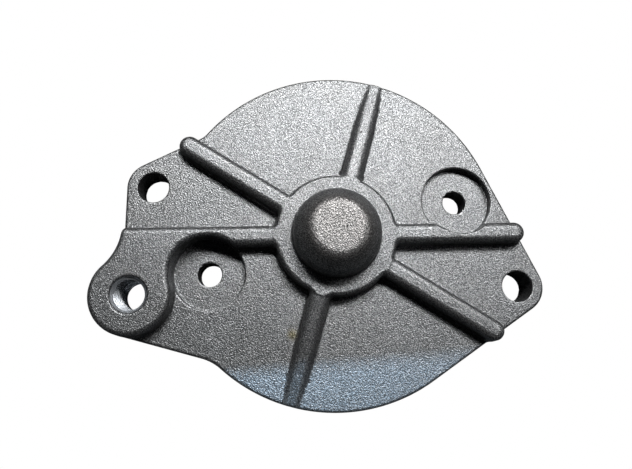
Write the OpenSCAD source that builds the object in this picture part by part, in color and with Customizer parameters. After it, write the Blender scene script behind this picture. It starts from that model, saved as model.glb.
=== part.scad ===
// Motor end shield: one grey casting with a round plate, two mounting ears,
// a closed bearing dome, stiffening ribs, two spot-faced through-bolt holes
// and a raised pad with a tapped hole.
// Frame: origin at the centre of the plate on its flat mating face, X through
// both ear holes, Z out of the ribbed outer face. All lengths in millimetres.

/* [Plate] */
// Radius of the round plate
disc_r = 50; // [49:0.5:51]
// Thickness of the plate and ears, mating face to outer face
plate_t = 10; // [9:0.5:11]
// Round on the outer edge of the plate
edge_r = 0.8; // [0.5:0.1:1]

/* [Ears] */
// Distance from the centre to each ear hole
ear_x = 55.75; // [55.5:0.25:56.5]
// Radius of the round end of each ear
ear_r = 7.8; // [7.4:0.2:8.2]
// Radius of each plain ear hole
ear_hole_r = 4.5; // [4:0.25:5]
// Direction of the upper edge of the left ear, in degrees
ear_up_deg = 42.3; // [42:0.1:43]
// Slope of the left edge below the left ear, in degrees
ear_down_deg = 74.5; // [74:0.1:75]

/* [Ribs and hub] */
// Height of the ribs, hub and pad above the plate
raise_h = 5; // [4.5:0.25:5.5]
// Radius of the hub at its root
hub_r = 18; // [17.5:0.25:18.5]
// Round on the top edge of the hub
hub_edge = 1.3; // [1:0.1:1.5]
// Angle of the four long ribs from the ear axis, in degrees
rib_deg = 16.3; // [16:0.1:16.6]
// Half width of a rib at its root
rib_root = 3.2; // [3.15:0.05:3.3]
// Half width of the flat along the crown of a rib
rib_flat = 1.05; // [1:0.05:1.1]
// Radius of the round on each side of the crown
rib_crown = 1.9; // [1.85:0.05:1.95]
// Distance from the centre to the round end of each right rib
rib_end_r = 52.5; // [52.1:0.1:52.9]
// Distance from the centre to the round end of the upper left rib
rib_end_l = 50.5; // [50:0.1:50.8]
// Height left at the rim end of the two falling ribs
rib_fall_end = 0.3; // [0.2:0.05:0.5]

/* [Dome] */
// Radius of the dome at its root
dome_r = 13.1; // [12.9:0.1:13.3]
// Height of the dome top above the plate
dome_h = 15.5; // [15:0.25:16]
// Radius of the shoulder of the dome
dome_shoulder = 6.6; // [6.4:0.1:6.8]
// Radius of the flat on top of the dome
dome_flat_r = 5.3; // [5.1:0.1:5.5]
// Fillet at the root of the dome
dome_root = 0.8; // [0.5:0.1:1]

/* [Through bolts] */
// Distance from the centre to each through-bolt hole
bolt_pcr = 38.4; // [38:0.1:38.6]
// Angle of the through-bolt holes from the ear axis, in degrees
bolt_deg = 32; // [31.8:0.1:32.2]
// Radius of each through-bolt hole
bolt_r = 3.5; // [3.25:0.25:3.75]
// Radius of each spot face
spot_r = 10.4; // [10:0.1:10.6]
// Depth of each spot face below the plate's outer face
spot_d = 2.4; // [2:0.1:2.8]

/* [Tapped pad] */
// Distance from the centre to the tapped hole
tap_pcr = 60.55; // [60.4:0.05:60.7]
// Angle of the tapped hole below the ear axis, in degrees
tap_deg = 31.8; // [31.6:0.1:32]
// Radius of the boss round the tapped hole at its root
boss_r = 11.8; // [11.6:0.05:11.9]
// Draft taken off the boss and pad between root and top
pad_draft = 1.4; // [1.3:0.1:1.5]
// Round on the top edges of the pad
pad_edge = 1.3; // [1.1:0.1:1.4]
// Radius of the tapping hole
tap_r = 4.25; // [4:0.05:4.5]
// Radius of the countersink at the mouth of the tapped hole
tap_sink_r = 5.5; // [5.3:0.1:5.7]

/* [Inner side] */
// Inner radius of the flat mating ring
ring_in_r = 44; // [43.5:0.5:44.5]
// Depth of the shallow relief inside the mating ring
recess_d = 1.5; // [1:0.25:2]
// Radius of the bearing boss
bear_boss_r = 14; // [13.5:0.5:15]
// Radius of the blind bearing bore
bear_r = 8; // [7.5:0.25:8.5]
// Depth of the blind bearing bore
bear_d = 18; // [16:0.5:19]
// Radius of the boss behind each through-bolt hole
bolt_boss_r = 7; // [6.5:0.5:7.5]

/* [Hidden] */
$fn = 96;
cl = 0.01;                       // lines that run on from an arc stand this far inside it
top = plate_t + raise_h;         // level of hub, pad and rib crowns
E = [ear_x, 0];
B = bolt_pcr * [cos(bolt_deg), sin(bolt_deg)];
T = -tap_pcr * [cos(tap_deg), sin(tap_deg)];
function dir(a) = [cos(a), sin(a)];

// Right ear: flanks that touch both circles
web_a = acos((disc_r - ear_r) / ear_x);
// Left ear, upper flank and its blend into the plate
up_n = dir(ear_up_deg + 90);
up_p = -E + (ear_r - cl) * up_n;
up_u = dir(ear_up_deg);
up_fr = 6;                       // blend into the plate
up_fs = sqrt((disc_r + up_fr) * (disc_r + up_fr) - (up_p * up_n + up_fr) * (up_p * up_n + up_fr));
up_fc = (up_p * up_n + up_fr) * up_n - up_fs * up_u;
// Left ear, lower flank and its blend into the boss
dn_u = [cos(ear_down_deg), -sin(ear_down_deg)];
dn_n = [-sin(ear_down_deg), -cos(ear_down_deg)];
dn_p = -E + (ear_r - cl) * dn_n;
dn_fr = 15;
dn_off = (T - dn_p) * dn_n;
dn_s = (T - dn_p) * dn_u - sqrt((boss_r + dn_fr) * (boss_r + dn_fr) - (dn_fr - dn_off) * (dn_fr - dn_off));
dn_q = dn_p + dn_s * dn_u;
dn_fc = dn_q + dn_fr * dn_n;
// Lower edge, from the boss to the plate, and its blend
low_y = T[1] - boss_r + cl;
low_fr = 14;
low_fc = [-sqrt((disc_r + low_fr) * (disc_r + low_fr) - (low_y - low_fr) * (low_y - low_fr)), low_y - low_fr];

// Ribs: level of the long crowns, just under the hub's flat top
rib_top = raise_h - 0.03;
pad_top = top - 0.06;
pad_step = 0.45;                 // the pad's sides stand this far inside the plate's edge
rib_cz = rib_top - rib_crown;
rib_ta = acos(rib_crown / norm([rib_root - rib_flat, rib_cz + 0.3])) - atan2(rib_cz + 0.3, rib_root - rib_flat);
// Falling ribs
fall_from = hub_r - 4;
fall_deg = atan((rib_top - rib_fall_end) / (disc_r - fall_from));
// Dome: wall that touches the shoulder arc
dome_c = [dome_flat_r, plate_t + dome_h - dome_shoulder];
dome_v = [dome_r, top] - dome_c;
dome_ta = atan2(dome_v[1], dome_v[0]) + acos(dome_shoulder / norm(dome_v));
dome_fc = [dome_r + dome_root * (1 - sin(dome_ta)) / cos(dome_ta), top + dome_root - cl];
hub_top_r = hub_r - 0.4;

// Plan of the plate, drawn in by i all round
module outline(i = 0) {
    k = cl + i;
    union() {
        circle(r = disc_r - i, $fn = 180);
        for (s = [1, -1]) translate([s * ear_x, 0]) circle(r = ear_r - i);
        translate(T) circle(r = boss_r - i);
        // feet of the rib ends, which stand a little past the edge
        for (a = [rib_deg, -rib_deg]) translate(rib_end_r * dir(a)) circle(r = rib_root + 0.02 - i);
        translate(rib_end_l * dir(180 - rib_deg)) circle(r = rib_root + 0.02 - i);
        // right ear web
        polygon([[0, 0],
            (disc_r - k) * dir(-web_a), E + (ear_r - k) * dir(-web_a),
            E + (ear_r - k) * dir(web_a), (disc_r - k) * dir(web_a)]);
        // left ear web, cut by its three hollow blends
        difference() {
            polygon([[0, 0], up_fc * (disc_r - i) / norm(up_fc), up_fc,
                up_fc - (up_fr + i) * up_n, up_p - i * up_n, -E, dn_p - i * dn_n, dn_q - i * dn_n, dn_fc,
                T + (boss_r - i) * (dn_fc - T) / norm(dn_fc - T), T,
                [T[0], low_y + i], [low_fc[0], low_y + i], low_fc,
                low_fc * (disc_r - i) / norm(low_fc)]);
            translate(up_fc) circle(r = up_fr + i);
            translate(dn_fc) circle(r = dn_fr + i);
            translate(low_fc) circle(r = low_fr + i);
        }
    }
}

// Section across a rib: drafted sides and a flat crown with rounded edges
module rib_section() {
    c = [rib_flat, rib_cz] + (rib_crown - cl) * dir(rib_ta);
    union() {
        polygon([[-rib_root, -1], [rib_root, -1], [rib_root, -0.3], c,
            [rib_flat, rib_top], [-rib_flat, rib_top], [-c[0], c[1]], [-rib_root, -0.3]]);
        for (s = [1, -1]) translate([s * rib_flat, rib_cz]) circle(r = rib_crown);
    }
}

// Long rib from the hub to a round nose centred at radius l
module long_rib(l) {
    translate([hub_r - 4, 0, plate_t]) rotate([90, 0, 90])
        linear_extrude(l - hub_r + 4) rib_section();
    translate([l, 0, plate_t]) rotate([0, 0, -90])
        rotate_extrude(angle = 180) intersection() {
            rib_section();
            translate([0, -2]) square([10, 20]);
        }
}

// Rib that runs along the pad to its outer side
module pad_rib() {
    intersection() {
        rotate([0, 0, 180 + rib_deg]) translate([hub_r - 4, 0, plate_t]) rotate([90, 0, 90])
            linear_extrude(60) rib_section();
        linear_extrude(top + 5) outline(pad_step + 0.3);
    }
}

// Rib whose crown falls from the hub to the rim
module falling_rib() {
    intersection() {
        translate([fall_from, 0, plate_t]) rotate([0, fall_deg, 0])
            translate([0, 0, 0]) rotate([90, 0, 90])
            linear_extrude(60) union() {
                rib_section();
                translate([-rib_root, -6]) square([2 * rib_root, 6]);
            }
        translate([0, 0, plate_t - 1]) cylinder(r = disc_r - 0.3, h = 20, $fn = 180);
    }
}

// Hub and dome, turned in one piece
module hub() {
    w = dome_shoulder - cl;
    rotate_extrude($fn = 180) union() {
        polygon([[0, plate_t - 1], [hub_r, plate_t - 1], [hub_r, plate_t],
            [hub_top_r - cl, top - hub_edge], [hub_top_r - hub_edge, top], [0, top]]);
        translate([hub_top_r - hub_edge, top - hub_edge]) circle(r = hub_edge);
        polygon([[0, top - 1], [dome_r, top - 1], [dome_r, top],
            dome_c + w * dir(dome_ta), dome_c, [dome_c[0], dome_c[1] + dome_shoulder],
            [0, dome_c[1] + dome_shoulder]]);
        intersection() {
            translate(dome_c) circle(r = dome_shoulder);
            translate([0, top]) square([30, 30]);
        }
        difference() {
            polygon([[dome_r - 1, top - 0.5], [dome_fc[0], top - 0.5], dome_fc,
                dome_fc - dome_root * dir(dome_ta), [dome_r - 1, dome_fc[1]]]);
            translate(dome_fc) circle(r = dome_root);
        }
    }
}

// Plate with a round on its outer top edge
module plate() {
    r = edge_r - 0.07;
    z = plate_t - edge_r;
    union() {
        union() {
            union() {
                union() {
                    linear_extrude(z) outline();
                    linear_extrude(plate_t) outline(edge_r);
                    // straight flanks
                    translate([0, 0, z]) {
                        for (s = [1, -1]) edge_bar((disc_r - edge_r - cl) * dir(s * web_a), E + (ear_r - edge_r - cl) * dir(s * web_a));
                        edge_bar(up_p - edge_r * up_n, up_fc - (up_fr + edge_r) * up_n);
                        edge_bar(dn_p - edge_r * dn_n, dn_q - edge_r * dn_n);
                        edge_bar([T[0], low_y + edge_r], [low_fc[0], low_y + edge_r]);
                    }
                }
                // ear ends and boss foot
                for (s = [1, -1]) translate([s * ear_x, 0, z]) rotate_extrude()
                    translate([ear_r - edge_r, 0]) circle(r = r);
                translate([T[0], T[1], z]) rotate_extrude() translate([boss_r - edge_r, 0]) circle(r = r);
            }
            // rim of the disc
            translate([0, 0, z]) rotate_extrude($fn = 180)
                translate([disc_r - edge_r, 0]) circle(r = r);
        }
        // hollow blends
        translate([0, 0, z]) edge_bow(up_fc, up_fr + edge_r, -up_n, -up_fc);
        translate([0, 0, z]) edge_bow(low_fc, low_fr + edge_r, [0, 1], -low_fc);
        translate([0, 0, z]) edge_bow(dn_fc, dn_fr + edge_r, -dn_n, T - dn_fc);
    }
}

// Round bar from p to q along a straight edge
module edge_bar(p, q) {
    d = q - p;
    translate(p) rotate([0, 0, atan2(d[1], d[0])]) rotate([0, 90, 0])
        cylinder(r = edge_r - 0.09, h = norm(d));
}

// Round bar along a hollow blend round c, between the directions u and v
module edge_bow(c, r, u, v) {
    a = atan2(u[1], u[0]);
    b = atan2(v[1], v[0]);
    d = (b - a + 540) % 360 - 180;
    translate(c) rotate([0, 0, min(a, a + d) - 3]) rotate_extrude(angle = abs(d) + 6)
        translate([r, 0]) circle(r = edge_r - 0.11);
}

// Plan of the raised pad beside the boss, drawn in by i
module pad_plan(i) {
    a = dir(180 + rib_deg);
    intersection() {
        outline(i);
        polygon([38 * a, 80 * a, [T[0] - 40, T[1]], T, -B]);
    }
}

// Raised pad: a drafted boss round the tapped hole, carried up to the rib
module pad() {
    br = boss_r - pad_draft - pad_edge;
    cz = pad_top - pad_edge;
    translate(T) rotate_extrude() union() {
        polygon([[0, plate_t - 1], [boss_r - pad_step, plate_t - 1],
            [br + pad_edge - cl, cz], [br, pad_top], [0, pad_top]]);
        translate([br, cz]) circle(r = pad_edge);
    }
    translate([0, 0, plate_t - 1]) {
        linear_extrude(cz - plate_t + 1) pad_plan(pad_step + 0.1);
        linear_extrude(pad_top - cl - plate_t + 1) difference() {
            pad_plan(pad_step + 0.1 + pad_edge);
            translate(-B) circle(r = spot_r + pad_edge);
        }
    }
    // round where the spot face runs into the pad
    translate([-B[0], -B[1], cz]) rotate([0, 0, 130]) rotate_extrude(angle = 80)
        translate([spot_r + pad_edge, 0]) circle(r = pad_edge - 0.07);
    // round along the outer side of the pad
    translate([dn_fc[0], dn_fc[1], cz]) rotate([0, 0, -28]) rotate_extrude(angle = 34)
        translate([dn_fr + pad_step + 0.1 + pad_edge, 0]) circle(r = pad_edge - 0.07);
}

module end_shield() {
    color([0.36, 0.37, 0.38]) difference() {
        union() {
            union() {
                union() {
                    plate();
                    hub();
                }
                for (a = [rib_deg, -rib_deg]) rotate([0, 0, a]) long_rib(rib_end_r);
                rotate([0, 0, 180 - rib_deg]) long_rib(rib_end_l);
                for (a = [90, 270]) rotate([0, 0, a]) falling_rib();
            }
            union() {
                pad();
                pad_rib();
            }
        }
        // ear holes
        for (s = [1, -1]) translate([s * ear_x, 0, -1]) cylinder(r = ear_hole_r, h = plate_t + 2);
        // through-bolt holes and their spot faces
        for (s = [1, -1]) translate([s * B[0], s * B[1], 0]) {
            translate([0, 0, -1]) cylinder(r = bolt_r, h = plate_t + 2);
            translate([0, 0, plate_t - spot_d]) cylinder(r = spot_r, h = 20);
        }
        // tapped hole and its countersink
        translate([T[0], T[1], -1]) cylinder(r = tap_r, h = top + 2);
        translate([T[0], T[1], pad_top - (tap_sink_r - tap_r)])
            cylinder(r1 = tap_r, r2 = tap_sink_r + 1, h = tap_sink_r - tap_r + 1);
        // shallow relief inside the mating ring
        difference() {
            translate([0, 0, -1]) cylinder(r = ring_in_r, h = recess_d + 1, $fn = 180);
            translate([0, 0, -2]) cylinder(r = bear_boss_r, h = recess_d + 4);
            for (s = [1, -1]) translate([s * B[0], s * B[1], -2]) cylinder(r = bolt_boss_r, h = recess_d + 4);
        }
        // blind bearing bore
        translate([0, 0, -1]) cylinder(r = bear_r, h = bear_d + 1);
    }
}

end_shield();
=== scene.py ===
"""Motor end shield: the casting, its floor, light and camera."""

import math

import bmesh
import bpy
import numpy as np
from mathutils import Matrix, Vector


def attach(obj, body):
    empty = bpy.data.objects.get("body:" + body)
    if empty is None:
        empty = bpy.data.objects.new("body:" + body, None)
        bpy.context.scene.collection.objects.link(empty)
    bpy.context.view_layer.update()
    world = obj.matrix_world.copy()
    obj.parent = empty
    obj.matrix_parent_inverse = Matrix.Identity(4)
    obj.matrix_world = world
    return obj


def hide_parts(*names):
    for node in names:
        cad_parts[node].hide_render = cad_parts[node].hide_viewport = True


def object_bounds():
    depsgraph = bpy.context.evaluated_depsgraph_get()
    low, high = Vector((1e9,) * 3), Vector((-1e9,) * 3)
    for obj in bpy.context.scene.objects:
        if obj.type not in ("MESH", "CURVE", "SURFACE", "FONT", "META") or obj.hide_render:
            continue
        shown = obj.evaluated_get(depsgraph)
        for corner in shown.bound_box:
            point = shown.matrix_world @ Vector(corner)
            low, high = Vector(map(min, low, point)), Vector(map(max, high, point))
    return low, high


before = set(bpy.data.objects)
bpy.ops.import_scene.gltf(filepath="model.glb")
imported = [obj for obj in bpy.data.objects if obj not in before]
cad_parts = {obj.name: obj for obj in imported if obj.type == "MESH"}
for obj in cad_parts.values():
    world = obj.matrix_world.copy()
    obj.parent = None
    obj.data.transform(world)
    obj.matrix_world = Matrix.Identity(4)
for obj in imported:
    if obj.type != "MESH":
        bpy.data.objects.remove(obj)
cad_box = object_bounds()

# ------------------------------------------------------------------ sizes, mm
DISC_R, PLATE_T, EDGE_R = 50.0, 10.0, 0.8
EAR_X, EAR_R, EAR_HOLE = 55.75, 7.8, 4.5
TOP = 15.0
HUB_R, HUB_EDGE = 18.0, 1.3
RIB_DEG, RIB_ROOT, RIB_CROWN = 16.3, 3.2, 2.1
FALL_CROWN, FALL_FLAT = 2.4, 0.55
RIB_END_R, RIB_END_L = 52.5, 50.5
RIB_TOP = 14.9
FALL_FROM, FALL_END = 17.0, 0.35
DOME_R, DOME_TOP, DOME_FLAT = 12.65, 25.5, 7.9
B = 38.4 * np.array([math.cos(math.radians(32)), math.sin(math.radians(32))])
BOLT_R, SPOT_R, SPOT_Z = 3.5, 10.4, 7.6
T = -60.55 * np.array([math.cos(math.radians(31.8)), math.sin(math.radians(31.8))])
BOSS_R, PAD_K, PAD_EDGE, PAD_TOP = 11.8, 0.1, 1.6, 14.9
TAP_R, SINK_R = 4.25, 5.5
RELIEF_R, RELIEF_Z, BEAR_BOSS, BEAR_R, BEAR_Z, BOLT_BOSS = 44.0, 1.5, 14.0, 8.0, 18.0, 7.0


def unit(deg):
    return np.array([math.cos(math.radians(deg)), math.sin(math.radians(deg))])


# outline: flanks of the left ear and their blends, as in the CAD part
E = np.array([EAR_X, 0.0])
WEB = math.degrees(math.acos((DISC_R - EAR_R) / EAR_X))
UP_N, UP_U, UP_FR = unit(42.3 + 90), unit(42.3), 6.0
UP_P = -E + EAR_R * UP_N
_h = UP_P @ UP_N + UP_FR
UP_FC = _h * UP_N - math.sqrt((DISC_R + UP_FR) ** 2 - _h ** 2) * UP_U
DN_U = np.array([math.cos(math.radians(74.5)), -math.sin(math.radians(74.5))])
DN_N = np.array([-math.sin(math.radians(74.5)), -math.cos(math.radians(74.5))])
DN_P, DN_FR = -E + EAR_R * DN_N, 15.0
_o = (T - DN_P) @ DN_N
DN_Q = DN_P + ((T - DN_P) @ DN_U - math.sqrt((BOSS_R + DN_FR) ** 2 - (DN_FR - _o) ** 2)) * DN_U
DN_FC = DN_Q + DN_FR * DN_N
LOW_Y, LOW_FR = T[1] - BOSS_R, 14.0
LOW_FC = np.array([-math.sqrt((DISC_R + LOW_FR) ** 2 - (LOW_Y - LOW_FR) ** 2), LOW_Y - LOW_FR])


# ------------------------------------------------------- distance-field tools
def wedge(a, b, r, c=0.0):
    """Inside both a and b, with the edge between them rounded by r. c is the cosine between their normals."""
    a, b = a + r, b + r
    q = np.sqrt(np.maximum(a * a + b * b - 2 * c * a * b, 0) / (1 - c * c))
    return np.where((a - c * b > 0) & (b - c * a > 0), q, np.maximum(a, b)) - r


def join(a, b, r, c=0.0):
    """Inside a or b, with a fillet of radius r where they meet."""
    return -wedge(-a, -b, r, c)


def circle(x, y, c, r):
    return np.hypot(x - c[0], y - c[1]) - r


def polygon(x, y, pts):
    d = np.full(np.broadcast(x, y).shape, 1e9)
    inside = np.zeros(d.shape, bool)
    for p, q in zip(pts, np.roll(pts, -1, 0)):
        e = q - p
        t = np.clip(((x - p[0]) * e[0] + (y - p[1]) * e[1]) / (e @ e), 0, 1)
        d = np.minimum(d, np.hypot(x - p[0] - t * e[0], y - p[1] - t * e[1]))
        cross = ((p[1] > y) != (q[1] > y)) & (x < (q[0] - p[0]) * (y - p[1]) / (q[1] - p[1] + 1e-12) + p[0])
        inside ^= cross
    return np.where(inside, -d, d)


def outline(x, y):
    d = circle(x, y, (0, 0), DISC_R)
    d = np.minimum(d, circle(np.abs(x), y, E, EAR_R))
    boss = circle(x, y, T, BOSS_R)
    web_r = polygon(x, y, np.array([[0, 0], DISC_R * unit(-WEB), E + EAR_R * unit(-WEB), E + EAR_R * unit(WEB), DISC_R * unit(WEB)]))
    left = polygon(x, y, np.array([[0, 0], UP_FC * DISC_R / np.linalg.norm(UP_FC), UP_FC, UP_FC - UP_FR * UP_N, UP_P, -E, DN_P, DN_Q, DN_FC,
        T + BOSS_R * (DN_FC - T) / np.linalg.norm(DN_FC - T), T, [T[0], LOW_Y], [LOW_FC[0], LOW_Y], LOW_FC, LOW_FC * DISC_R / np.linalg.norm(LOW_FC)]))
    for c, r in ((UP_FC, UP_FR), (DN_FC, DN_FR), (LOW_FC, LOW_FR)):
        left = np.maximum(left, -circle(x, y, c, r))
    d = np.minimum(np.minimum(d, boss), np.minimum(web_r, left))
    for a, l in ((RIB_DEG, RIB_END_R), (-RIB_DEG, RIB_END_R), (180 - RIB_DEG, RIB_END_L)):
        d = join(d, circle(x, y, l * unit(a), RIB_ROOT), 0.7, 0.2)
    return d


def section(t, z):
    """Across a rib: drafted sides and a flat crown with well rounded edges."""
    al = math.radians(4.2)
    side = (t - RIB_ROOT) * math.cos(al) + (z - PLATE_T) * math.sin(al)
    return wedge(side, z - RIB_TOP, RIB_CROWN, math.sin(al))


def along(x, y, deg):
    u = unit(deg)
    return x * u[0] + y * u[1], y * u[0] - x * u[1]


def long_rib(x, y, z, deg, end):
    u, w = along(x, y, deg)
    t = np.sqrt(w * w + np.maximum(u - end, 0) ** 2 + np.maximum(8 - u, 0) ** 2)
    return section(t, z)


def falling_rib(x, y, z, deg):
    u, w = along(x, y, deg)
    f = math.atan((TOP - PLATE_T - 0.03 - FALL_END) / (DISC_R - FALL_FROM))
    n = (u - FALL_FROM) * math.sin(f) + (z - PLATE_T) * math.cos(f)
    tip = np.clip((u - 40) / 10, 0, 1)
    crown, flat = FALL_CROWN - 1.6 * tip, FALL_FLAT + 0.45 * tip
    t = np.sqrt(w * w + np.maximum(8 - u, 0) ** 2)
    al = math.radians(4.2)
    v, t = n - TOP + PLATE_T + crown, t - flat
    return np.where(v * math.cos(al) - t * math.sin(al) > 0, np.where(t > 0, np.hypot(t, v), v), t * math.cos(al) + v * math.sin(al)) - crown


def solid(x, y, z):
    """Signed distance of the whole casting, mm, negative inside."""
    rho = np.hypot(x, y)
    out = outline(x, y)
    spot_a, spot_b = circle(x, y, B, SPOT_R), circle(x, y, -B, SPOT_R)
    boss = circle(x, y, T, BOSS_R)
    a = unit(180 + RIB_DEG)
    up = np.array([a[1], -a[0]]) * 9
    field = polygon(x, y, np.array([37 * a + up, 80 * a + up, [T[0] - 40, T[1]], T, -B]))

    # plate
    plate = wedge(out, np.where(z > 5, z - PLATE_T, -z), np.where(z > 5, EDGE_R, 0.4))

    # hub and dome
    dl = math.atan(0.4 / 5)
    hub = wedge((rho - HUB_R) * math.cos(dl) + (z - PLATE_T) * math.sin(dl), z - TOP, HUB_EDGE, math.sin(dl))
    dw = math.radians(2.5)
    wall = (rho - DOME_R) * math.cos(dw) + (z - TOP) * math.sin(dw)
    cone = ((rho - DOME_FLAT) * 5.6 + (z - DOME_TOP) * 4.9) / math.hypot(5.6, 4.9)
    dome = wedge(wedge(wall, cone, 5.0, 0.78), z - DOME_TOP, 4.0, 0.66)

    # ribs
    raised = hub
    for deg, end in ((RIB_DEG, RIB_END_R), (-RIB_DEG, RIB_END_R), (180 - RIB_DEG, RIB_END_L)):
        rib = long_rib(x, y, z, deg, end)
        if deg == RIB_DEG:
            rib = wedge(rib, -spot_a, 0.9)
        raised = join(raised, rib, 0.9)
    for deg in (90, 270):
        raised = join(raised, wedge(falling_rib(x, y, z, deg), rho - DISC_R + 0.3, 0.5), 1.2)
    # pad: side rib, boss and the field between
    k = PAD_K / math.hypot(1, PAD_K)
    side = (out + PAD_K * np.maximum(z - PLATE_T, 0)) * math.sqrt(1 - k * k)
    pad_rib = wedge(wedge(long_rib(x, y, z, 180 + RIB_DEG, 75.0), side, 1.6), -spot_b, 1.5)
    q, h = math.sqrt(1 - k * k), z - PLATE_T
    pad_in = np.maximum(np.minimum(boss, field), -spot_b)
    w = along(x, y, 180 + RIB_DEG)[1]
    over = np.where(w < 0, section(-w, z), z - PAD_TOP)
    pad = wedge(np.maximum((pad_in + PAD_K * h) * q, side), over, PAD_EDGE, k)
    raised = np.maximum(join(raised, pad_rib, 1.2), z - TOP)
    raised = np.minimum(raised, pad)
    raised = join(raised, dome, 0.7, 0.05)
    # fillet at the root
    rf = 0.7
    zz = np.clip(z - PLATE_T, 0, rf)
    raised = np.maximum(raised - (rf - np.sqrt(np.maximum(rf * rf - (rf - zz) ** 2, 0))) * (z >= PLATE_T), side)
    raised = np.maximum(raised, 6 - z)
    body = np.minimum(plate, raised)

    # spot faces, holes
    for c in (B, -B):
        s = wedge(circle(x, y, c, SPOT_R), SPOT_Z - z, 0.15)
        body = wedge(body, -s, 0.45)
        body = wedge(body, -circle(x, y, c, BOLT_R), 0.3)
    body = wedge(body, -circle(np.abs(x), y, E, EAR_HOLE), 0.35)
    tap = np.hypot(x - T[0], y - T[1])
    body = np.maximum(body, TAP_R - tap)
    body = wedge(body, -(tap - SINK_R - (z - PAD_TOP)) * math.sqrt(0.5), 0.15)
    # hidden side: shallow relief with bosses, blind bearing bore
    relief = np.maximum(np.maximum(rho - RELIEF_R, BEAR_BOSS - rho), np.maximum(BOLT_BOSS - np.minimum(spot_a, spot_b) - SPOT_R, z - RELIEF_Z))
    body = wedge(body, -relief, 0.2)
    bore = np.maximum(rho - BEAR_R, z - BEAR_Z)
    bore = np.minimum(bore, (rho - BEAR_R - 0.6 + z) * math.sqrt(0.5))
    return np.maximum(body, -bore)


def gradient(p, e=0.02):
    g = np.empty_like(p)
    for i in range(3):
        s = np.zeros(3)
        s[i] = e
        a, b = p + s, p - s
        g[:, i] = solid(a[:, 0], a[:, 1], a[:, 2]) - solid(b[:, 0], b[:, 1], b[:, 2])
    return g / np.maximum(np.linalg.norm(g, axis=1, keepdims=True), 1e-9)


# ------------------------------------------------------------- surface from it
def contour(lo, hi, h):
    """Dual contouring of solid(): vertices and quads, mm."""
    n = np.ceil((np.array(hi) - lo) / h).astype(int) + 1
    ax = [lo[i] + h * np.arange(n[i]) for i in range(3)]
    d = np.empty(n, np.float32)
    gx, gy = ax[0][:, None, None], ax[1][None, :, None]
    for k0 in range(0, n[2], 6):
        gz = ax[2][k0:k0 + 6][None, None, :]
        d[:, :, k0:k0 + 6] = solid(gx + 0 * gy, gy + 0 * gx, gz)
    sign = d < 0
    cells = n - 1
    size = int(np.prod(cells))
    pts, cell, quads = [], [], []
    for axis in range(3):
        lo_i = [slice(None)] * 3
        hi_i = [slice(None)] * 3
        lo_i[axis], hi_i[axis] = slice(0, -1), slice(1, None)
        cross = np.argwhere(sign[tuple(lo_i)] != sign[tuple(hi_i)])
        step = np.eye(3, dtype=int)[axis]
        d0 = d[tuple(cross.T)].astype(float)
        d1 = d[tuple((cross + step).T)].astype(float)
        p0 = np.array(lo) + h * cross
        t0, t1 = np.zeros(len(cross)), np.ones(len(cross))
        for _ in range(4):
            t = t0 + (t1 - t0) * np.clip(d0 / (d0 - d1), 0.05, 0.95)
            p = p0 + h * t[:, None] * step
            f = solid(p[:, 0], p[:, 1], p[:, 2])
            left = (f < 0) == (d0 < 0)
            t0, d0 = np.where(left, t, t0), np.where(left, f, d0)
            t1, d1 = np.where(left, t1, t), np.where(left, d1, f)
        t = t0 + (t1 - t0) * np.clip(d0 / (d0 - d1), 0, 1)
        p = p0 + h * t[:, None] * step
        b, c = (axis + 1) % 3, (axis + 2) % 3
        ids = []
        for ob, oc in ((0, 0), (-1, 0), (-1, -1), (0, -1)):
            q = cross.copy()
            q[:, b] += ob
            q[:, c] += oc
            ids.append((q[:, 0] * cells[1] + q[:, 1]) * cells[2] + q[:, 2])
        ids = np.stack(ids, 1)
        flip = ~sign[tuple(cross.T)]
        ids[flip] = ids[flip][:, ::-1]
        pts.append(p)
        cell.append(ids)
        quads.append(ids)
    pts, quads = np.concatenate(pts), np.concatenate(quads)
    nor = gradient(pts)
    used, inv = np.unique(quads.ravel(), return_inverse=True)
    quads = inv.reshape(-1, 4)
    m = len(used)
    rep = np.repeat(np.arange(len(pts)), 4)
    flat = quads.ravel()
    count = np.bincount(flat, minlength=m).astype(float)
    cen = np.stack([np.bincount(flat, pts[rep, i], m) for i in range(3)], 1) / count[:, None]
    rel = np.einsum("ij,ij->i", nor[rep], pts[rep] - cen[flat])
    ata = np.zeros((m, 3, 3))
    atb = np.zeros((m, 3))
    for i in range(3):
        atb[:, i] = np.bincount(flat, nor[rep, i] * rel, m)
        for j in range(3):
            ata[:, i, j] = np.bincount(flat, nor[rep, i] * nor[rep, j], m)
    ata += np.eye(3) * 0.08
    move = np.linalg.solve(ata, atb[:, :, None])[:, :, 0]
    length = np.linalg.norm(move, axis=1, keepdims=True)
    move *= np.minimum(1, 0.9 * h / np.maximum(length, 1e-9))
    return cen + move, quads


def new_mesh(name, verts, polys):
    me = bpy.data.meshes.new(name)
    k = polys.shape[1]
    me.vertices.add(len(verts))
    me.vertices.foreach_set("co", np.ascontiguousarray(verts, np.float32).ravel())
    me.loops.add(polys.size)
    me.loops.foreach_set("vertex_index", np.ascontiguousarray(polys, np.int32).ravel())
    me.polygons.add(len(polys))
    me.polygons.foreach_set("loop_start", np.arange(0, polys.size, k, dtype=np.int32))
    me.update(calc_edges=True)
    me.validate()
    return me


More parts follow.
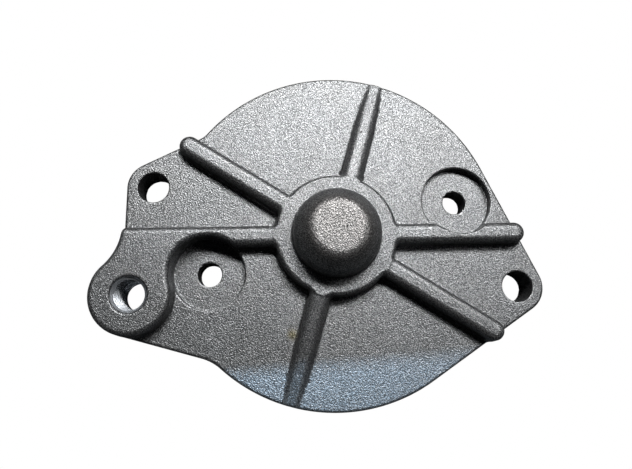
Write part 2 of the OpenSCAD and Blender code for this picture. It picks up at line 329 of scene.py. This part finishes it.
def thread_cutter():
    """A screw of 10 mm diameter and 1.5 mm pitch, standing in the tapped hole, mm."""
    pitch, n = 1.5, 72
    knots = [(0.0, TAP_R - 0.05), (0.22, TAP_R - 0.05), (0.54, 4.99), (0.68, 4.99)]
    rows = []
    for turn in range(-3, 12):
        for f, r in knots:
            rows.append((turn + f, r))
    nr, nk = len(rows), len(knots)
    verts = []
    for f, r in rows:
        for j in range(n):
            th = 2 * math.pi * j / n
            verts.append((T[0] + r * math.cos(th), T[1] + r * math.sin(th), pitch * (f + j / n) - 0.6))
    tris = []
    for i in range(nr - 1):
        for j in range(n):
            if j < n - 1:
                q = (i * n + j, i * n + j + 1, (i + 1) * n + j + 1, (i + 1) * n + j)
            elif i + nk + 1 < nr:
                q = (i * n + j, (i + nk) * n, (i + nk + 1) * n, (i + 1) * n + j)
            else:
                continue
            tris += [(q[0], q[1], q[2]), (q[0], q[2], q[3])]
    # caps: the open helical edge at each end, drawn to a point on the axis
    edges = {}
    for t in tris:
        for p, q in ((t[0], t[1]), (t[1], t[2]), (t[2], t[0])):
            edges[(p, q)] = True
    zs = [v[2] for v in verts]
    low, high = len(verts), len(verts) + 1
    verts += [(T[0], T[1], min(zs) - 2), (T[0], T[1], max(zs) + 2)]
    mid = 0.5 * (min(zs) + max(zs))
    for p, q in list(edges):
        if (q, p) not in edges:
            tris.append((q, p, low if zs[p] < mid else high))
    return np.array(verts), np.array(tris)


def casting():
    v, q = contour((-64.5, -51.2, -0.9), (64.5, 51.2, 26.6), 0.43)
    v = np.clip(v, 1000 * np.array(cad_box[0]), 1000 * np.array(cad_box[1]))
    me = new_mesh("end_shield_casting", v, q)
    ob = bpy.data.objects.new("end_shield_casting", me)
    bpy.context.scene.collection.objects.link(ob)
    bpy.context.view_layer.objects.active = ob
    ob.select_set(True)
    tri = ob.modifiers.new("tri", "TRIANGULATE")
    dec = ob.modifiers.new("dec", "DECIMATE")
    dec.ratio = min(1.0, 150000 / (2 * len(q)))
    cv, ct = thread_cutter()
    cut = bpy.data.objects.new("cutter", new_mesh("cutter", cv, ct))
    bpy.context.scene.collection.objects.link(cut)
    boo = ob.modifiers.new("thread", "BOOLEAN")
    boo.operation, boo.solver, boo.object = "DIFFERENCE", "EXACT", cut
    tr2 = ob.modifiers.new("tri2", "TRIANGULATE")
    deps = bpy.context.evaluated_depsgraph_get()
    done = bpy.data.meshes.new_from_object(ob.evaluated_get(deps))
    ob.modifiers.clear()
    ob.data = done
    done.name = "end_shield_casting"
    bpy.data.meshes.remove(me)
    cm = cut.data
    bpy.data.objects.remove(cut)
    bpy.data.meshes.remove(cm)

    # slivers left by the thread cut
    bm = bmesh.new()
    bm.from_mesh(done)
    bmesh.ops.remove_doubles(bm, verts=bm.verts, dist=0.004)
    bmesh.ops.dissolve_degenerate(bm, dist=0.002, edges=bm.edges)
    bmesh.ops.triangulate(bm, faces=[f for f in bm.faces if len(f.verts) > 3])
    bm.to_mesh(done)
    bm.free()

    # shading normals straight from the distance field, one per face corner
    n_v, n_l, n_p = len(done.vertices), len(done.loops), len(done.polygons)
    co = np.empty(n_v * 3, np.float32)
    done.vertices.foreach_get("co", co)
    co = co.reshape(-1, 3).astype(float)
    vi = np.empty(n_l, np.int32)
    done.loops.foreach_get("vertex_index", vi)
    tri_v = vi.reshape(-1, 3)
    p = co[tri_v]
    fn = np.cross(p[:, 1] - p[:, 0], p[:, 2] - p[:, 0])
    fn /= np.maximum(np.linalg.norm(fn, axis=1, keepdims=True), 1e-12)
    mid = p.mean(1, keepdims=True)
    away = mid - p
    dist = np.linalg.norm(away, axis=2, keepdims=True)
    near = p + away * np.minimum(0.25, 0.12 / np.maximum(dist, 1e-9))
    g = gradient(near.reshape(-1, 3)).reshape(-1, 3, 3)
    agree = np.einsum("ijk,ik->ij", g, fn)
    tap = np.hypot(mid[:, 0, 0] - T[0], mid[:, 0, 1] - T[1]) < SINK_R + 0.05
    tap &= mid[:, 0, 2] < PAD_TOP - 0.1
    use = (agree > 0.5) & ~tap[:, None]
    nrm = np.where(use[:, :, None], g, fn[:, None, :])
    # every face smooth; the mesh goes to metres and takes its normals per corner
    done.polygons.foreach_set("use_smooth", np.ones(n_p, bool))
    done.transform(Matrix.Scale(0.001, 4))
    done.normals_split_custom_set(nrm.reshape(-1, 3).tolist())
    done.update()
    return ob


body = casting()


# ------------------------------------------------------------------- material
def cast_material():
    mat = bpy.data.materials.new("cast_body")
    mat.use_nodes = True
    nt = mat.node_tree
    nd, ln = nt.nodes, nt.links
    bsdf = nd["Principled BSDF"]
    bsdf.inputs["Metallic"].default_value = 0.85
    bsdf.inputs["Specular IOR Level"].default_value = 0.4
    co = nd.new("ShaderNodeTexCoord")
    turned = nd.new("ShaderNodeMapping")
    turned.inputs["Rotation"].default_value = (0.62, 0.43, 0.31)
    ln.new(co.outputs["Object"], turned.inputs["Vector"])

    def noise(scale, detail=2.0, rough=0.6):
        n = nd.new("ShaderNodeTexNoise")
        n.inputs["Scale"].default_value = scale
        n.inputs["Detail"].default_value = detail
        n.inputs["Roughness"].default_value = rough
        ln.new(turned.outputs[0], n.inputs["Vector"])
        return n

    def ramp(src, stops):
        r = nd.new("ShaderNodeValToRGB")
        while len(r.color_ramp.elements) < len(stops):
            r.color_ramp.elements.new(0.5)
        for e, (pos, col) in zip(r.color_ramp.elements, stops):
            e.position = pos
            e.color = (*col, 1) if isinstance(col, tuple) else (col, col, col, 1)
        ln.new(src, r.inputs["Fac"])
        return r

    def math_node(op, a, b):
        m = nd.new("ShaderNodeMath")
        m.operation = op
        for s, v in zip(m.inputs, (a, b)):
            if isinstance(v, (int, float)):
                s.default_value = v
            else:
                ln.new(v, s)
        return m.outputs[0]

    grain = noise(2900, 1.5, 0.5)
    fine = noise(4500, 1.0, 0.5)
    broad = noise(60, 3.0, 0.6)
    def near(point, inner, outer, axis=False, warp=0.0):
        """1 within inner metres of a point (or of its upright axis), 0 beyond outer."""
        v = co.outputs["Object"]
        if axis:
            f = nd.new("ShaderNodeVectorMath")
            f.operation = "MULTIPLY"
            f.inputs[1].default_value = (1, 1, 0)
            ln.new(v, f.inputs[0])
            v = f.outputs[0]
            point = (point[0], point[1], 0)
        d = nd.new("ShaderNodeVectorMath")
        d.operation = "DISTANCE"
        d.inputs[1].default_value = point
        ln.new(v, d.inputs[0])
        d = d.outputs["Value"]
        if warp:
            d = math_node("ADD", d, math_node("MULTIPLY", math_node("SUBTRACT", grain.outputs["Fac"], 0.5), warp))
        m = nd.new("ShaderNodeMapRange")
        m.inputs["From Min"].default_value, m.inputs["From Max"].default_value = inner, outer
        m.inputs["To Min"].default_value, m.inputs["To Max"].default_value = 1.0, 0.0
        ln.new(d, m.inputs["Value"])
        return m.outputs[0]

    def blend(kind, fac, under, over):
        m = nd.new("ShaderNodeMix")
        m.data_type, m.blend_type = "RGBA", kind
        for s, v in ((m.inputs[0], fac), (m.inputs[6], under), (m.inputs[7], over)):
            if isinstance(v, (float, tuple)):
                s.default_value = v if isinstance(v, float) else (*v, 1)
            else:
                ln.new(v, s)
        return m.outputs[2]

    col = ramp(grain.outputs["Fac"], [(0.34, (0.052, 0.0545, 0.057)), (0.5, (0.12, 0.1245, 0.129)), (0.66, (0.255, 0.263, 0.27))])
    tint = ramp(broad.outputs["Fac"], [(0.35, (0.93, 0.92, 0.91)), (0.65, (1.0, 1.0, 1.0))])
    shade = blend("MULTIPLY", 1.0, col.outputs[0], tint.outputs[0])
    # warmer skin on the dome, a brown, slightly darker patch at the root of the lower rib
    shade = blend("MULTIPLY", near((0, 0, 0.0255), 0.0085, 0.012), shade, (1.05, 1.0, 0.965))
    shade = blend("MULTIPLY", near((-0.0046, -0.0306, 0.010), 0.0004, 0.0022, warp=0.003), shade, (1.0, 0.88, 0.55))
    # bright cut metal inside the tapped hole
    cut = near((T[0] / 1000, T[1] / 1000, 0), 0.005, 0.00515, axis=True)
    shade = blend("MIX", cut, shade, (0.34, 0.36, 0.385))
    # small pits on the dome and the upper rib, their shade painted as near-black dots with no hollow modelled
    pit_shade = math_node("MAXIMUM", near((0.0019, 0.0007, 0.0255), 0.0002, 0.0005), near((-0.0007, 0.0327, 0.0126), 0.0002, 0.0006))
    shade = blend("MIX", pit_shade, shade, (0.01, 0.01, 0.01))
    ln.new(shade, bsdf.inputs["Base Color"])
    rgh = nd.new("ShaderNodeMapRange")
    rgh.inputs["To Min"].default_value, rgh.inputs["To Max"].default_value = 0.33, 0.45
    ln.new(fine.outputs["Fac"], rgh.inputs["Value"])
    ln.new(rgh.outputs[0], bsdf.inputs["Roughness"])
    height = math_node("ADD", grain.outputs["Fac"], math_node("MULTIPLY", fine.outputs["Fac"], 0.35))
    height = math_node("MULTIPLY", height, math_node("SUBTRACT", 1.0, math_node("MULTIPLY", cut, 0.85)))
    bump = nd.new("ShaderNodeBump")
    bump.inputs["Strength"].default_value = 0.57
    bump.inputs["Distance"].default_value = 0.00025
    ln.new(height, bump.inputs["Height"])
    ln.new(bump.outputs[0], bsdf.inputs["Normal"])
    return mat


body.data.materials.clear()
body.data.materials.append(cast_material())
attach(body, "root")
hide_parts("end_shield")

# ---------------------------------------------------------------------- stage
fm = bpy.data.meshes.new("floor")
fm.from_pydata([(-3, -3, -0.0002), (3, -3, -0.0002), (3, 3, -0.0002), (-3, 3, -0.0002)], [], [(0, 1, 2, 3)])
floor = bpy.data.objects.new("floor", fm)
bpy.context.scene.collection.objects.link(floor)
fmat = bpy.data.materials.new("pale_floor")
fmat.use_nodes = True
fn, fl = fmat.node_tree.nodes, fmat.node_tree.links
fb = fn["Principled BSDF"]
fb.inputs["Base Color"].default_value = (0.05, 0.05, 0.05, 1)
fb.inputs["Roughness"].default_value = 0.9
fb.inputs["Specular IOR Level"].default_value = 0.0
fe = fn.new("ShaderNodeEmission")
fe.inputs["Strength"].default_value = 1.0
fx = fn.new("ShaderNodeMixShader")
fl.new(fn.new("ShaderNodeLightPath").outputs["Is Camera Ray"], fx.inputs[0])
fl.new(fb.outputs[0], fx.inputs[1])
fl.new(fe.outputs[0], fx.inputs[2])
fl.new(fx.outputs[0], fn["Material Output"].inputs["Surface"])
fm.materials.append(fmat)

scene = bpy.context.scene
world = bpy.data.worlds.new("world")
scene.world = world
world.use_nodes = True
wn, wl = world.node_tree.nodes, world.node_tree.links
bg = wn["Background"]
bg.inputs["Color"].default_value = (0.93, 0.96, 1.0, 1)
bg.inputs["Strength"].default_value = 0.009
pale = wn.new("ShaderNodeBackground")
pale.inputs["Color"].default_value = (0.98, 0.98, 0.98, 1)
wx = wn.new("ShaderNodeMixShader")
wl.new(wn.new("ShaderNodeLightPath").outputs["Is Camera Ray"], wx.inputs[0])
wl.new(bg.outputs[0], wx.inputs[1])
wl.new(pale.outputs[0], wx.inputs[2])
wl.new(wx.outputs[0], wn["World Output"].inputs["Surface"])


def area(name, pos, target, size, power, color, spread=180, size_y=None):
    l = bpy.data.lights.new(name, "AREA")
    l.shape = "RECTANGLE" if size_y else "DISK"
    l.size = size
    if size_y:
        l.size_y = size_y
    l.energy = power
    l.color = color
    l.spread = math.radians(spread)
    o = bpy.data.objects.new(name, l)
    bpy.context.scene.collection.objects.link(o)
    o.location = pos
    o.rotation_euler = (Vector(target) - Vector(pos)).to_track_quat("-Z", "Y").to_euler()
    return o


def over(az, el, d=0.7):
    a, e = math.radians(az), math.radians(el)
    return d * math.cos(e) * math.cos(a), d * math.cos(e) * math.sin(a), d * math.sin(e)


key = area("key", over(94, 57), (0, 0, 0.01), 0.55, 7.9, (1.0, 0.99, 0.98), size_y=0.12)
wide = area("wide", over(86, 58), (0, 0, 0.01), 1.7, 3.8, (1.0, 0.99, 0.98), size_y=0.12)

# a cool light from high up, kept off all but the near edge by a card above the other lights
DOWN, ACROSS = Vector((0.267, -0.964, 0.0)), Vector((0.964, 0.267, 0.0))
edge = Vector((0.0132, -0.0343, 0.01))
ce = math.radians(108)
ray = math.cos(ce) * DOWN + math.sin(ce) * Vector((0, 0, 1))
cool = area("cool", edge + 1.2 * ray, edge, 0.003, 12.5, (0.52, 0.76, 1.0))
low = edge + 0.76 * ray
slant = 0.8 * (ACROSS - 0.074 * DOWN)
cm = bpy.data.meshes.new("card")
cm.from_pydata([low - slant, low + slant, low + slant - 0.7 * DOWN, low - slant - 0.7 * DOWN], [], [(0, 1, 2, 3)])
card = bpy.data.objects.new("card", cm)
bpy.context.scene.collection.objects.link(card)
card.visible_camera = False
cmat = bpy.data.materials.new("black_card")
cmat.use_nodes = True
cb = cmat.node_tree.nodes["Principled BSDF"]
cb.inputs["Base Color"].default_value = (0.01, 0.01, 0.01, 1)
cb.inputs["Roughness"].default_value = 1.0
cb.inputs["Specular IOR Level"].default_value = 0.0
cm.materials.append(cmat)

# --------------------------------------------------------------------- camera
rx, ry, rz = -0.181945, 0.047097, -0.269959
t = np.array([5.695013, -0.710145, -159.931894])
cx, sx, cy, sy, cz, sz = math.cos(rx), math.sin(rx), math.cos(ry), math.sin(ry), math.cos(rz), math.sin(rz)
RX = np.array([[1, 0, 0], [0, cx, -sx], [0, sx, cx]])
RY = np.array([[cy, 0, sy], [0, 1, 0], [-sy, 0, cy]])
RZ = np.array([[cz, -sz, 0], [sz, cz, 0], [0, 0, 1]])
R = RY @ RX @ RZ
pos = (-R.T @ t + np.array([0, 0, PLATE_T])) / 1000
cam_data = bpy.data.cameras.new("camera")
cam_data.sensor_fit = "HORIZONTAL"
cam_data.sensor_width = 36.0
cam_data.lens = 36.0 * 541.051152 / 632.0
cam_data.clip_start = 0.01
cam = bpy.data.objects.new("camera", cam_data)
bpy.context.scene.collection.objects.link(cam)
cam.matrix_world = Matrix.Translation(Vector(pos)) @ Matrix(R.T.tolist()).to_4x4()
scene.camera = cam
scene.view_settings.view_transform = "Standard"
